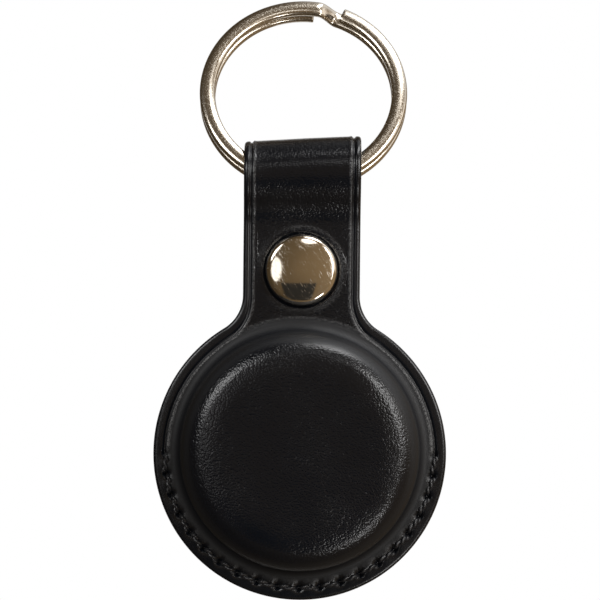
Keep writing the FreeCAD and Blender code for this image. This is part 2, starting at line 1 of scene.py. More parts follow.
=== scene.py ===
import bmesh
import bpy
import json
import math
from mathutils import Matrix, Vector
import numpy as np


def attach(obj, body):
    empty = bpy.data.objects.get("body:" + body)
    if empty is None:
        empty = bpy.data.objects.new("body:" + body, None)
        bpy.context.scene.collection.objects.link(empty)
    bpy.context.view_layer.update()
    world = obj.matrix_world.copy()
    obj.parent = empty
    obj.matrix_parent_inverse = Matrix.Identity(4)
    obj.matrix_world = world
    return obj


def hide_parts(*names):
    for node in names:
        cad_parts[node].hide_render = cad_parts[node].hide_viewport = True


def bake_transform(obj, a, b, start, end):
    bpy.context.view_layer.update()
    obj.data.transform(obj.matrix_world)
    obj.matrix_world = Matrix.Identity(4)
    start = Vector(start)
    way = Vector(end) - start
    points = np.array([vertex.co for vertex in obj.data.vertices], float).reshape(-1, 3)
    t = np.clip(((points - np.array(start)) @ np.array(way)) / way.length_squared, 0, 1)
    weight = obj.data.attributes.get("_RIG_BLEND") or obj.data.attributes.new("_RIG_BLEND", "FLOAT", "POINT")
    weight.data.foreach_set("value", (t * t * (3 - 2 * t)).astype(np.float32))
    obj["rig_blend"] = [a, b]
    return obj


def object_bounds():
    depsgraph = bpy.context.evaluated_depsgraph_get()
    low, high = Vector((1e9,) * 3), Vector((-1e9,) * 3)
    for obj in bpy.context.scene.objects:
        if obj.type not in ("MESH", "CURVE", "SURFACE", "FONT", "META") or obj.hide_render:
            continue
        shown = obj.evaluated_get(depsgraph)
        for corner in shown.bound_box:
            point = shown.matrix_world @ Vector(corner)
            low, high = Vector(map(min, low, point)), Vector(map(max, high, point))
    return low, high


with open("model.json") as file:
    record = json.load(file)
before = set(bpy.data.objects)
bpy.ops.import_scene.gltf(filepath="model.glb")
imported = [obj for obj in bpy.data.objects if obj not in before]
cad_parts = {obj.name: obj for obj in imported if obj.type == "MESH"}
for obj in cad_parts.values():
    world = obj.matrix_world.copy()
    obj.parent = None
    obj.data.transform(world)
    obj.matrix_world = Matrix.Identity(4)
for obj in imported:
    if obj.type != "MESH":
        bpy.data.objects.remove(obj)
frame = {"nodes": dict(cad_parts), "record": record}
cad_low, cad_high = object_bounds()

# Split key ring: two turns of rounded steel wire, wound cold and plated with nickel.
# Beside the crown a short jog carries the wire from the front turn to the rear one, and both
# of its ends are cut square there and tumbled smooth.
mm = 0.001
ring_outer = 15.35 * mm
wire_width = 2.3 * mm
wire_thickness = 1.4 * mm
wire_squareness = 2.6
turn_gap = 0.45 * mm
ring_lean = math.radians(23.5)
jog_start = math.radians(9.0)
jog_angle = math.radians(11.5)
end_gap = math.radians(3.0)
end_bevel = 0.15 * mm
section_points = 36
turn_steps = 180
jog_steps = 12

bm = bmesh.new()
wire_middle = ring_outer - wire_width / 2
turn_middle = (wire_thickness + turn_gap) / 2
section = bmesh.ops.create_circle(bm, segments=section_points, radius=1)["verts"]
for point in section:
    across, outward = point.co.xy
    reach = (abs(across) ** wire_squareness + abs(outward) ** wire_squareness) ** (1 / wire_squareness)
    point.co = (0, across / reach * wire_thickness / 2, outward / reach * wire_width / 2)
wire_start = jog_start + jog_angle + end_gap
to_start = Matrix.Rotation(wire_start, 4, "Y") @ Matrix.Translation((0, -turn_middle, wire_middle))
bmesh.ops.transform(bm, matrix=to_start, verts=section)


def wind(open_end, angle, steps, advance=0.0):
    """Winds the wire on from its open end, and gives back the new open end."""
    last = bmesh.ops.spin(bm, geom=open_end, cent=(0, 0, 0), axis=(0, 1, 0), angle=angle, steps=steps,
                          dvec=(0, advance / steps, 0))["geom_last"]
    return [item for item in last if isinstance(item, bmesh.types.BMEdge)]


def eased(part):
    """A step from 0 to 1 that starts and ends gently."""
    part = min(max(part, 0.0), 1.0)
    return part * part * (3 - 2 * part)


first_end = bm.edges[:]
turn_angle = math.tau - jog_angle - end_gap
last_end = wind(first_end, turn_angle, turn_steps)
for step in range(jog_steps):
    share = eased((step + 1) / jog_steps) - eased(step / jog_steps)
    last_end = wind(last_end, jog_angle / jog_steps, 1, 2 * turn_middle * share)
last_end = wind(last_end, turn_angle, turn_steps)
for cut_end in (first_end, last_end):
    bmesh.ops.contextual_create(bm, geom=cut_end)
    bmesh.ops.bevel(bm, geom=cut_end, offset=end_bevel, offset_type="OFFSET", affect="EDGES",
                    segments=3, profile=0.5, material=-1)
bmesh.ops.recalc_face_normals(bm, faces=bm.faces[:])
ring_middle = (ring_outer - wire_width) * Vector((0, -math.sin(ring_lean), -math.cos(ring_lean)))
leaning = Matrix.Translation(ring_middle) @ Matrix.Rotation(-ring_lean, 4, "X")
bmesh.ops.transform(bm, matrix=leaning, verts=bm.verts[:])


def piece(name, made, *finishes):
    """Turns a finished bmesh into an object with its place in its mesh."""
    mesh = bpy.data.meshes.new(name)
    made.to_mesh(mesh)
    made.free()
    mesh.shade_smooth()
    for material in finishes:
        mesh.materials.append(material)
    item = bpy.data.objects.new(name, mesh)
    bpy.context.scene.collection.objects.link(item)
    return item


def add(tree, kind, inputs, **settings):
    """Adds a shader node; an input is a plain value or the socket that feeds it."""
    made = tree.nodes.new(kind)
    for name, value in settings.items():
        setattr(made, name, value)
    for name, value in inputs.items():
        if isinstance(value, bpy.types.NodeSocket):
            tree.links.new(value, made.inputs[name])
        else:
            made.inputs[name].default_value = value
    return made


def worked(tree, operation, *values):
    """What a maths node makes of its values."""
    return add(tree, "ShaderNodeMath", dict(enumerate(values)), operation=operation).outputs["Value"]


def ranged(tree, value, low, high, bottom=0.0, top=1.0):
    """How far a value has come from low to high, given back between bottom and top."""
    limits = {"Value": value, "From Min": low, "From Max": high, "To Min": bottom, "To Max": top}
    return add(tree, "ShaderNodeMapRange", limits).outputs["Result"]


def speckle(tree, place, scale, detail, roughness=0.5):
    """A soft random pattern between 0 and 1."""
    pattern = {"Vector": place, "Scale": scale, "Detail": detail, "Roughness": roughness}
    return add(tree, "ShaderNodeTexNoise", pattern).outputs["Fac"]


def drawn_out(tree, place, turn, length):
    """A place measured so that a pattern on it becomes strokes, which lean by a turn and are so many
    times longer than wide."""
    strokes = {"Vector": place, "Rotation": (0.0, turn, 0.0), "Scale": (1.0, 1.0, length)}
    return add(tree, "ShaderNodeMapping", strokes, vector_type="TEXTURE").outputs["Vector"]


def blended(tree, share, first, second):
    """A colour mixed from two."""
    return add(tree, "ShaderNodeMix", {0: share, 6: first, 7: second}, data_type="RGBA").outputs[2]


def effect(name, takes, gives):
    """An empty node group with named inputs and outputs, and its two end nodes."""
    group = bpy.data.node_groups.new(name, "ShaderNodeTree")
    for label, kind in takes.items():
        group.interface.new_socket(label, in_out="INPUT", socket_type=f"NodeSocket{kind}")
    for label, kind in gives.items():
        group.interface.new_socket(label, in_out="OUTPUT", socket_type=f"NodeSocket{kind}")
    return group, group.nodes.new("NodeGroupInput").outputs, group.nodes.new("NodeGroupOutput").inputs


def surfaced(name, effects, values, bump, depth):
    """A material that takes its tone, roughness and relief from a group of effects. Gives back the
    material and the group's node in it."""
    material = bpy.data.materials.new(name)
    material.use_nodes = True
    tree = material.node_tree
    place = add(tree, "ShaderNodeTexCoord", {}).outputs["Object"]
    used = add(tree, "ShaderNodeGroup", {"Place": place, **values}, node_tree=effects)
    relief = {"Height": used.outputs["Height"], "Strength": bump, "Distance": depth}
    shader = tree.nodes["Principled BSDF"]
    tree.links.new(used.outputs["Tone"], shader.inputs["Base Color"])
    tree.links.new(used.outputs["Roughness"], shader.inputs["Roughness"])
    tree.links.new(add(tree, "ShaderNodeBump", relief).outputs["Normal"], shader.inputs["Normal"])
    return material, used


cloud_scale = 260.0
scratch_scale = 6500.0
scratch_turn = -0.58
scratch_length = 9.0
scratch_low, scratch_high = 0.54, 0.72
scratch_roughness = 0.22
scratch_bump = 0.1
scratch_depth = 0.004 * mm
plate_wear, taken, given = effect(
    "plate_wear",
    {"Place": "Vector", "Bright": "Color", "Dull": "Color", "Polish": "Float", "Rubbing": "Float"},
    {"Tone": "Color", "Roughness": "Float", "Height": "Float"})
cloud = speckle(plate_wear, taken["Place"], cloud_scale, 4.0)
along_scratches = drawn_out(plate_wear, taken["Place"], scratch_turn, scratch_length)
streaks = speckle(plate_wear, along_scratches, scratch_scale, 2.0, 0.6)
scratch = ranged(plate_wear, streaks, scratch_low, scratch_high)
scratched = worked(plate_wear, "MULTIPLY", scratch, taken["Rubbing"])
dulled = worked(plate_wear, "MULTIPLY_ADD", scratched, scratch_roughness, taken["Polish"])
plate_wear.links.new(blended(plate_wear, cloud, taken["Dull"], taken["Bright"]), given["Tone"])
plate_wear.links.new(dulled, given["Roughness"])
plate_wear.links.new(scratched, given["Height"])


def plated(name, bright, dull, polish, rubbing):
    """Bright plated metal: a faintly clouded tone, and hairline scratches from handling."""
    values = {"Bright": (*bright, 1), "Dull": (*dull, 1), "Polish": polish, "Rubbing": rubbing}
    metal, _ = surfaced(name, plate_wear, values, scratch_bump, scratch_depth)
    metal.node_tree.nodes["Principled BSDF"].inputs["Metallic"].default_value = 1.0
    return metal


ring_nickel = plated("ring_nickel", (0.74, 0.68, 0.59), (0.60, 0.545, 0.465), 0.19, 0.7)
split_ring = piece("key_ring_wire", bm, ring_nickel)
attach(split_ring, "ring")
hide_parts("split_ring")

# Front leather: one piece of black vegetable-tanned leather. Its round end is wetted and pressed
# over a former into the dome, and its strap end runs up and folds over the key ring. The edges
# are creased with a hot iron and painted, and the seam's groove is cut round the lower half.
leather = 1.5 * mm
pocket_radius = 21.3 * mm
strap_half = 8.5 * mm
neck_radius = 5.7 * mm
snap_rise = 26.7 * mm
bend_length = 8.0 * mm
loop_inner = 3.372 * mm
snap_gap = 2.41 * mm
stitch_inset = 1.75 * mm
stitch_count = 20
dome_rise = 0.5 * mm
dome_top = 8.8 * mm
dome_flat = 14.05 * mm
dome_shoulder = 3.0 * mm
dome_wall = 1.25 * mm
dome_foot = 1.3 * mm
dome_foot_radius = 18.69 * mm
foot_land = 0.02 * mm
dome_draft = math.radians(5.0)
cap_sink = 0.3 * mm
post_hole = 1.55 * mm
hole_land = 0.3 * mm

joints = {joint["name"]: joint for joint in frame["record"]["behaviour"]["joints"]}
loop_axis = Vector(joints["ring_swing"]["pos_m"])
mouth_hinge = Vector(joints["mouth_bend"]["pos_m"])
mouth_rise = 2.2 * mm
pocket_middle = Vector((0, mouth_hinge.y - leather / 2, mouth_hinge.z - mouth_rise))
loop_rise = loop_axis.z - pocket_middle.z
loop_middle = snap_gap / 2
bend_start = loop_rise - bend_length
bend_shift = loop_inner - loop_middle
bend_radius = (bend_length ** 2 + bend_shift ** 2) / (4 * bend_shift)
bend_angle = math.asin(bend_length / (2 * bend_radius))
bend_run = bend_radius * bend_angle
fold_run = math.pi * (loop_inner + leather / 2)
grain = leather / 2
flesh = -leather / 2
weld = 0.002 * mm
mirror_weld = 0.01 * mm


def swing(made, point, centre, angle, steps, axis=(0, 0, 1)):
    """Draws an arc on from a point, and gives back its far end."""
    last = bmesh.ops.spin(made, geom=[point], cent=centre, axis=axis, angle=angle, steps=steps)["geom_last"]
    return [item for item in last if isinstance(item, bmesh.types.BMVert)][0]


def run_to(made, point, place, steps=1):
    """Draws a straight run on from a point, and gives back its far end."""
    start = point.co.copy()
    for step in range(steps):
        point = bmesh.ops.extrude_vert_indiv(made, verts=[point])["verts"][0]
        point.co = start.lerp(Vector(place), (step + 1) / steps)
    return point


def noted_mesh(*notes):
    """An empty bmesh whose points hold notes, and the layers that hold them."""
    made = bmesh.new()
    for note in notes:
        made.verts.layers.float.new(note)
    return made, [made.verts.layers.float[note] for note in notes]


def blank(made):
    """Mirrors a drawn half outline and makes it one flat face that looks towards the grain side."""
    bmesh.ops.mirror(made, geom=made.verts[:] + made.edges[:], axis="X", merge_dist=mirror_weld)
    face = bmesh.ops.contextual_create(made, geom=made.edges[:])["faces"][0]
    if face.normal.z < 0:
        bmesh.ops.reverse_faces(made, faces=[face])
    return face


def margin(made, face, insets):
    """Sets rows of faces round a face's edge, notes their insets and takes out what is left inside.
    Gives back the edges of that inner gap."""
    noted = made.verts.layers.float["inset"]
    for near, far in zip(insets, insets[1:]):
        bmesh.ops.inset_region(made, faces=[face], thickness=far - near, use_even_offset=True,
                               use_boundary=True)
        for point in face.verts:
            point[noted] = far
    inner = face.edges[:]
    bmesh.ops.delete(made, geom=[face], context="FACES_ONLY")
    return inner


far_inside = 1.0


def turned(made, chain_start, draw, centre, steps):
    """Turns a chain of edges, drawn from a starting point, once round an upright axis through the
    centre. Gives back the edges of its open rims, the innermost first."""
    known = set(made.edges)
    start = bmesh.ops.create_vert(made, co=chain_start)["vert"][0]
    draw(start)
    chain = [edge for edge in made.edges if edge not in known]
    points = list({point for edge in chain for point in edge.verts})
    noted = made.verts.layers.float.get("inset")
    if noted:
        for point in points:
            point[noted] = far_inside
    bmesh.ops.spin(made, geom=points + chain, cent=centre, axis=(0, 0, 1), angle=math.tau, steps=steps,
                   use_merge=True)
    fresh = [edge for edge in made.edges if edge not in known]
    bmesh.ops.remove_doubles(made, verts=list({point for edge in fresh for point in edge.verts}), dist=weld)
    rims = [edge for edge in made.edges if edge not in known and edge.is_boundary]
    return sorted(rims, key=lambda edge: (edge.verts[0].co.xy - Vector(centre).xy).length)


def bent(place, heading, bends, run):
    """Where a strip's middle line is after a run along it, and its heading there. Each bend is a
    length and the angle that the strip turns over it; a heading of 0 is up, a quarter turn is back."""
    across, up = place
    for length, angle in bends:
        part = min(run, length)
        if angle:
            curve = angle / length
            across += (math.cos(heading) - math.cos(heading + curve * part)) / curve
            up += (math.sin(heading + curve * part) - math.sin(heading)) / curve
            heading += curve * part
        else:
            across += math.sin(heading) * part
            up += math.cos(heading) * part
        run -= part
        if run <= 0:
            break
    return across, up, heading


def well(distance, half_width, depth):
    """A soft groove's depth at a distance from its middle."""
    share = min(abs(distance) / half_width, 1.0)
    return -depth * (1 + math.cos(math.pi * share)) / 2


def swell(distance, half_width):
    """1 on the middle of a soft ridge, falling to 0 beside it."""
    return math.exp(-(distance / half_width) ** 2)


edge_round = 0.42 * mm
edge_roll = 0.08 * mm
pocket_crease = 1.62 * mm
strap_crease = 1.04 * mm
crease_half = 0.34 * mm
crease_depth = 0.26 * mm
crease_fade = 0.5 * mm
lip_inset = 0.42 * mm
lip_half = 0.17 * mm
lip_height = 0.06 * mm


def beside_crease(inset, crease_inset):
    """1 along the lip that the hot iron raises inside a crease, 0 away from it."""
    return swell(inset - crease_inset - lip_inset, lip_half)


def burnished(inset, crease_inset):
    """1 out to the crease, where the edge is rubbed smooth, and 0 inside it."""
    return 1 - eased((inset - crease_inset) / crease_fade)


def margin_relief(inset, crease_inset, creased):
    """The rounded edge of a piece, with its crease and the lip beside it."""
    short = max(edge_round - inset, 0.0)
    fallen = math.sqrt(edge_round ** 2 - short ** 2) - edge_round
    roll = -edge_roll * (1 - min(inset / crease_inset, 1.0)) ** 2
    crease = well(inset - crease_inset, crease_half, crease_depth)
    return fallen + roll + creased * (crease + lip_height * beside_crease(inset, crease_inset))


stitch_pitch = math.pi / stitch_count
seam_radius = pocket_radius - stitch_inset
seam_end = -0.6 * mm
seam_fade = 1.6 * mm
bed_half = 0.34 * mm
bed_depth = 0.12 * mm
needle_half = 0.42 * mm
needle_depth = 0.62 * mm
bulge_half = 0.8 * mm
bulge_height = 0.07 * mm


def seam_relief(across, rise, inset):
    """The thread's shallow bed, and the hide drawn down into each needle hole and bulged between them."""
    turn = math.atan2(rise, across) / stitch_pitch
    along = abs(turn - round(turn)) * stitch_pitch * seam_radius
    beside = inset - stitch_inset
    between = math.sin(math.pi * along / (stitch_pitch * pocket_radius)) ** 2
    drawn = -needle_depth * swell(math.hypot(along, beside), needle_half)
    return well(beside, bed_half, bed_depth) + drawn + bulge_height * swell(beside, bulge_half) * between


def unseamed(rise):
    """1 where the panels are loose, 0 along the seam."""
    return eased((rise - seam_end) / seam_fade)


wave_height = 0.035 * mm
wave_across = 3.1 * mm
wave_along = 3.7 * mm
wave_start = 0.8
wave_drift = 0.35


def waved(across, rise):
    """The slow, slight waves of hide that never lies quite flat."""
    turn = across / wave_across
    return wave_height * math.sin(turn + wave_start) * math.cos(rise / wave_along + wave_drift * turn)


seam_steps = 8 * stitch_count
upper_steps = 52
neck_steps = 18
dome_steps = 160
snap_steps = 96
# The points note their inset, the pressed and burnished zones, and where light grey is painted on raised
# lips: partly scuff wear, partly a painted highlight.
bm, notes = noted_mesh("inset", "pressed", "burnished", "scuff_highlight")
inset_note, pressed_note, burnished_note, scuff_highlight_note = notes
neck_middle = Vector((strap_half + neck_radius, 0, 0))
neck_middle.y = math.sqrt((pocket_radius + neck_radius) ** 2 - neck_middle.x ** 2)
neck_turn = math.atan2(neck_middle.y, neck_middle.x)
strap_run = bend_start + 2 * bend_run + fold_run
spare = 4.0 * mm
point = bmesh.ops.create_vert(bm, co=(0, -pocket_radius, grain))["vert"][0]
point = swing(bm, point, (0, 0, grain), math.pi / 2, seam_steps)
point = swing(bm, point, (0, 0, grain), neck_turn, upper_steps)
point = swing(bm, point, neck_middle + Vector((0, 0, grain)), -neck_turn, neck_steps)
point = run_to(bm, point, (strap_half, strap_run + spare, grain))
run_to(bm, point, (0, strap_run + spare, grain))
face = blank(bm)
outline = face.edges[:]
crease_rows = [row * mm for row in (0, 0.06, 0.15, 0.28, 0.45, 0.62, 0.78, 0.9, 1.0, 1.1, 1.22, 1.36, 1.5,
                                    1.62, 1.75, 1.88, 2.05)]
inner = margin(bm, face, crease_rows)


def dome_chain(start):
    """The moulded dome from its crown: flat, shoulder, drafted wall and the hollow round its foot."""
    shoulder_middle = (dome_flat, dome_rise, dome_top - dome_shoulder)
    foot_middle = (dome_foot_radius, dome_rise, grain + dome_foot)
    foot_top = Vector((dome_foot_radius - dome_foot * math.cos(dome_draft), dome_rise,
                       grain + dome_foot * (1 - math.sin(dome_draft))))
    point = run_to(bm, start, (dome_flat, dome_rise, dome_top), 14)
    point = swing(bm, point, shoulder_middle, math.pi / 2 - dome_draft, 22, (0, 1, 0))
    point = run_to(bm, point, foot_top, 3)
    point = swing(bm, point, foot_middle, dome_draft - math.pi / 2, 10, (0, 1, 0))
    run_to(bm, point, (dome_foot_radius + foot_land, dome_rise, grain))


def snap_chain(start):
    """The strap under and round the cap, pressed down by it, with close rows for the pucker beside it."""
    for radius, drop in ((4.7, 0.3), (5.1, 0.3), (5.3, 0.28), (5.42, 0.2), (5.55, 0.1), (5.7, 0.04),
                         (5.85, 0.02), (6.0, 0), (6.15, 0), (6.3, 0), (6.45, 0), (6.6, 0), (6.8, 0)):
        start = run_to(bm, start, (radius * mm, snap_rise, grain - drop * mm))


dome_rims = turned(bm, (0, dome_rise, dome_top), dome_chain, (0, dome_rise, 0), dome_steps)
snap_rims = turned(bm, (post_hole, snap_rise, grain - cap_sink), snap_chain, (0, snap_rise, 0), snap_steps)
post_rim = snap_rims[:snap_steps]
bmesh.ops.triangle_fill(bm, use_beauty=True, edges=inner + dome_rims + snap_rims[snap_steps:],
                        normal=(0, 0, 1))

# The pressed line across the neck, where the moulding block's edge stopped, needs a close mesh
neck_low, neck_high, neck_half = 17.6 * mm, 21.4 * mm, 9.4 * mm
neck_rows, neck_columns = 14, 40
neck_weld = 0.005 * mm
margin_inset = 2.0 * mm
dome_clear = 12 * mm


def crosses_neck(face):
    """Whether a flat face reaches into the neck, clear of the margin and the dome."""
    return (len(face.verts) < 5 and face.normal.z > 0.99
            and any(neck_low < point.co.y < neck_high and abs(point.co.x) < neck_half for point in face.verts)
            and all(point[inset_note] > margin_inset and point.co.y > dome_clear for point in face.verts))


cuts = [((0, neck_low + (neck_high - neck_low) * row / neck_rows, 0), (0, 1, 0))
        for row in range(neck_rows + 1)]
cuts += [((neck_half * (2 * column / neck_columns - 1), 0, 0), (1, 0, 0))
         for column in range(neck_columns + 1)]
for place, normal in cuts:
    faces = [face for face in bm.faces if crosses_neck(face)]
    near = list({item for face in faces for item in (*face.verts, *face.edges)})
    bmesh.ops.bisect_plane(bm, geom=near + faces, plane_co=place, plane_no=normal, dist=neck_weld)


flesh_round = 0.1 * mm
flesh_rows = [0, 0.12 * mm, 0.4 * mm]


def thicken(made, outline):
    """Gives the grain side its cut edge and the margin of its flesh side. Gives back the edges of the
    gap left on the flesh side, and the faces of the grain side and of the cut edge."""
    grain_side = set(made.faces)
    wall = bmesh.ops.extrude_edge_only(made, edges=outline)["geom"]
    low_edges = [item for item in wall if isinstance(item, bmesh.types.BMEdge) and item.is_boundary]
    bmesh.ops.translate(made, vec=(0, 0, flesh_round - leather),
                        verts=[item for item in wall if isinstance(item, bmesh.types.BMVert)])
    cut_side = set(made.faces) - grain_side
    low_face = bmesh.ops.contextual_create(made, geom=low_edges)["faces"][0]
    inner = margin(made, low_face, flesh_rows)
    for point in {point for edge in inner for point in edge.verts}:
        point.co.z = flesh
    return inner, grain_side, cut_side


def sort_finishes(made, grain_side, cut_side):
    """Gives each face its finish: 0 for the grain, 1 for the cut edge and 2 for the flesh side."""
    for face in made.faces:
        face.material_index = 0 if face in grain_side else 1 if face in cut_side else 2


hollow_step = 0.13 * mm
hollow_foot = 16.1 * mm
hollow_chamfer = 0.15 * mm
hollow_mouth = 16.28 * mm
hollow_land = 16.6 * mm
hollow_steps = 96
inner, grain_side, cut_side = thicken(bm, outline)


def hollow_chain(start):
    """The inside of the dome, one wall's thickness in from its outside."""
    shoulder = dome_shoulder - dome_wall
    point = run_to(bm, start, (dome_flat - hollow_step, dome_rise, dome_top - dome_wall), 2)
    centre = point.co - Vector((0, 0, shoulder))
    point = swing(bm, point, centre, math.pi / 2 - dome_draft, 12, (0, 1, 0))
    point = run_to(bm, point, (hollow_foot, dome_rise, flesh + hollow_chamfer), 2)
    point = run_to(bm, point, (hollow_mouth, dome_rise, flesh))
    run_to(bm, point, (hollow_land, dome_rise, flesh))


def hole_chain(start):
    """The flesh side's land round the hole for the cap's rivet."""
    run_to(bm, start, (post_hole + hole_land, snap_rise, flesh))


hollow_rims = turned(bm, (0, dome_rise, dome_top - dome_wall), hollow_chain, (0, dome_rise, 0), hollow_steps)
hole_rims = turned(bm, (post_hole, snap_rise, flesh), hole_chain, (0, snap_rise, 0), snap_steps)
bmesh.ops.triangle_fill(bm, use_beauty=True, edges=inner + hollow_rims + hole_rims[snap_steps:],
                        normal=(0, 0, -1))
bmesh.ops.bridge_loops(bm, edges=post_rim + hole_rims[:snap_steps])
sort_finishes(bm, grain_side, cut_side)


def cut_rows(made, first, last, rows, inner_side=False):
    """Cuts a strap across in even rows, so that it can bend, and cuts off what is beyond its end."""
    for row in range(rows + 1):
        place = (0, first + (last - first) * row / rows, 0)
        ending = row == (0 if inner_side else rows)
        bmesh.ops.bisect_plane(made, geom=made.verts[:] + made.edges[:] + made.faces[:], plane_co=place,
                               plane_no=(0, 1, 0), dist=weld, clear_outer=ending and not inner_side,
                               clear_inner=ending and inner_side)
    bmesh.ops.holes_fill(made, edges=[edge for edge in made.edges if edge.is_boundary], sides=0)


strap_rows = 64
bend_lead = 1.0 * mm
cut_rows(bm, bend_start - bend_lead, strap_run, strap_rows)

neck_foot = 15 * mm
neck_fade = 2 * mm
strap_fade = 9 * mm
block_radius = 19.5 * mm
block_half = 0.3 * mm
block_depth = 0.08 * mm
block_lip = 0.28 * mm
block_lip_half = 0.16 * mm
block_lip_height = 0.05 * mm
block_inset = 1.0 * mm
block_fade = 0.8 * mm
pucker_radius = 6.25 * mm
pucker_half = 0.28 * mm
pucker_height = 0.07 * mm
# The next three set how much light grey is painted: less on the strap's crease lip, and some on the block's
# lip and on the pucker ridge; it is partly scuff wear, partly a painted highlight where these raised ridges
# catch light.
strap_spared = 0.45
block_lip_scuff_highlight = 0.5
pucker_scuff_highlight = 0.35


def front_relief(across, rise, inset):
    """The creased edge, the seam, the pressed line over the neck and the pucker round the cap. Gives
    back the relief, how far the grain is burnished smooth there, and how much light grey is painted on
    the raised lips and the pucker: partly scuff wear, partly a painted highlight where they catch light."""
    on_strap = eased((rise - neck_foot) / strap_fade)
    loose = unseamed(rise)
    crease_inset = pocket_crease + (strap_crease - pocket_crease) * on_strap
    relief = margin_relief(inset, crease_inset, loose) + (1 - loose) * seam_relief(across, rise, inset)
    in_neck = eased((rise - neck_foot) / neck_fade) * eased((inset - block_inset) / block_fade)
    from_block = math.hypot(across, rise) - block_radius
    lip = in_neck * swell(from_block - block_lip, block_lip_half)
    relief += in_neck * well(from_block, block_half, block_depth) + block_lip_height * lip
    turn = math.atan2(rise - snap_rise, across)
    fold = 0.5 + 0.4 * math.sin(turn + 1.1) + 0.2 * math.sin(5 * turn)
    pucker = fold * swell(math.hypot(across, rise - snap_rise) - pucker_radius, pucker_half)
    # The light grey painted on the crease lip, the block's lip and the pucker ridge: partly scuff wear,
    # partly a painted highlight.
    crease_lip_scuff_highlight = (1 - strap_spared * on_strap) * loose * beside_crease(inset, crease_inset)
    scuff_highlight = max(crease_lip_scuff_highlight, block_lip_scuff_highlight * lip, pucker_scuff_highlight * pucker)
    return relief + pucker_height * pucker, burnished(inset, crease_inset), scuff_highlight


fold_slant = math.tan(math.radians(3.2))


def slanted(across, height):
    """How far the fold stands higher on its right, where the strap was folded a little askew."""
    return fold_slant * across * eased((height - bend_start) / (bend_length + loop_inner))


skin_depth = 0.4 * mm
crown_soft = 0.55 * mm
crown_start = 11.9 * mm
crown_fade = 5 * mm
wall_swell = 0.12 * mm
wall_start = 16.9 * mm
wall_radius = 17.5 * mm
foot_end = 19.6 * mm
foot_fade = 0.5 * mm
foot_overlap = 0.1 * mm
press_start = 15.4 * mm
press_fade = 1.0 * mm
front_foot = (-leather / 2, -pocket_radius)
front_bends = ((pocket_radius + bend_start, 0), (bend_run, -bend_angle), (bend_run, bend_angle),
               (fold_run, math.pi))
for point in bm.verts:
    across, rise, out = point.co
    if out > grain - skin_depth:
        from_dome = math.hypot(across, rise - dome_rise)
        raised = max(out - grain, 0.0) / (dome_top - grain)
        spread = min(max((foot_end - from_dome) / (foot_end - wall_radius), 0.0), 1.0)
        out -= crown_soft * eased((from_dome - crown_start) / crown_fade) * raised
        out += wall_swell * spread ** 2 * eased((from_dome - wall_start) / (wall_radius - wall_start))
        on_wall = eased((from_dome - press_start) / press_fade)
        point[pressed_note] = on_wall * eased((foot_end - from_dome) / foot_fade)
        if from_dome > dome_foot_radius - foot_overlap:
            relief, point[burnished_note], point[scuff_highlight_note] = front_relief(across, rise, point[inset_note])
            out += relief
        out += waved(across, rise)
    depth, height, heading = bent(front_foot, 0.0, front_bends, rise + pocket_radius)
    depth -= math.cos(heading) * out
    height += math.sin(heading) * out
    point.co = pocket_middle + Vector((across, depth, height + slanted(across, height)))
bmesh.ops.recalc_face_normals(bm, faces=bm.faces[:])

warp_scale = 900.0
warp_reach = 0.0004
pebble_scale = 3300.0
pore_scale = 6500.0
patch_scale = 95.0
streak_scale = 4200.0
streak_turn = -0.55
streak_length = 5.0
smoothing = 0.85
hollow_depth = 1.6
pore_height = 0.2
patch_roughness = 0.14
pressed_roughness = 0.36
burnished_roughness = 0.04
# The light grey painted on the crease lips, the block's lip and the pucker ridge: partly scuff wear, partly a
# painted highlight where these raised ridges catch light.
scuff_highlight_grey = (0.16, 0.157, 0.155, 1)
leather_grain, taken, given = effect(
    "leather_grain",
    {"Place": "Vector", "Pressed": "Float", "Burnished": "Float", "Scuff_highlight": "Float", "Deep": "Color",
     "Worn": "Color", "Pebble": "Float", "Sheen": "Float"},
    {"Tone": "Color", "Roughness": "Float", "Height": "Float"})
place = taken["Place"]
warp = add(leather_grain, "ShaderNodeTexNoise", {"Vector": place, "Scale": warp_scale, "Detail": 2.0})
warped = add(leather_grain, "ShaderNodeMix", {0: warp_reach, 4: place, 5: warp.outputs["Color"]},
             data_type="VECTOR").outputs[1]
pebble = add(leather_grain, "ShaderNodeTexVoronoi", {"Vector": warped, "Scale": pebble_scale}, feature="F1")
hollow = worked(leather_grain, "POWER", pebble.outputs["Distance"], 2.0)
pore = speckle(leather_grain, place, pore_scale, 2.0)
patch = speckle(leather_grain, place, patch_scale, 3.0)
along_streaks = drawn_out(leather_grain, place, streak_turn, streak_length)
streak = speckle(leather_grain, along_streaks, streak_scale, 2.0)
open_grain = ranged(leather_grain, patch, 0.35, 0.68, 0.4, 1.0)
smoothed = worked(leather_grain, "MAXIMUM", taken["Pressed"], taken["Burnished"])
grain_left = worked(leather_grain, "MULTIPLY_ADD", smoothed, -smoothing, 1.0)
grain_share = worked(leather_grain, "MULTIPLY", open_grain, grain_left)
bumps = worked(leather_grain, "MULTIPLY_ADD", hollow, -hollow_depth, streak)
cell = worked(leather_grain, "MULTIPLY", bumps, grain_share)
sized = worked(leather_grain, "MULTIPLY", cell, taken["Pebble"])
height = worked(leather_grain, "MULTIPLY_ADD", pore, pore_height, sized)
clouded = worked(leather_grain, "MULTIPLY_ADD", patch, patch_roughness, taken["Sheen"])
matted = worked(leather_grain, "MULTIPLY_ADD", taken["Pressed"], pressed_roughness, clouded)
roughness = worked(leather_grain, "MULTIPLY_ADD", taken["Burnished"], burnished_roughness, matted)
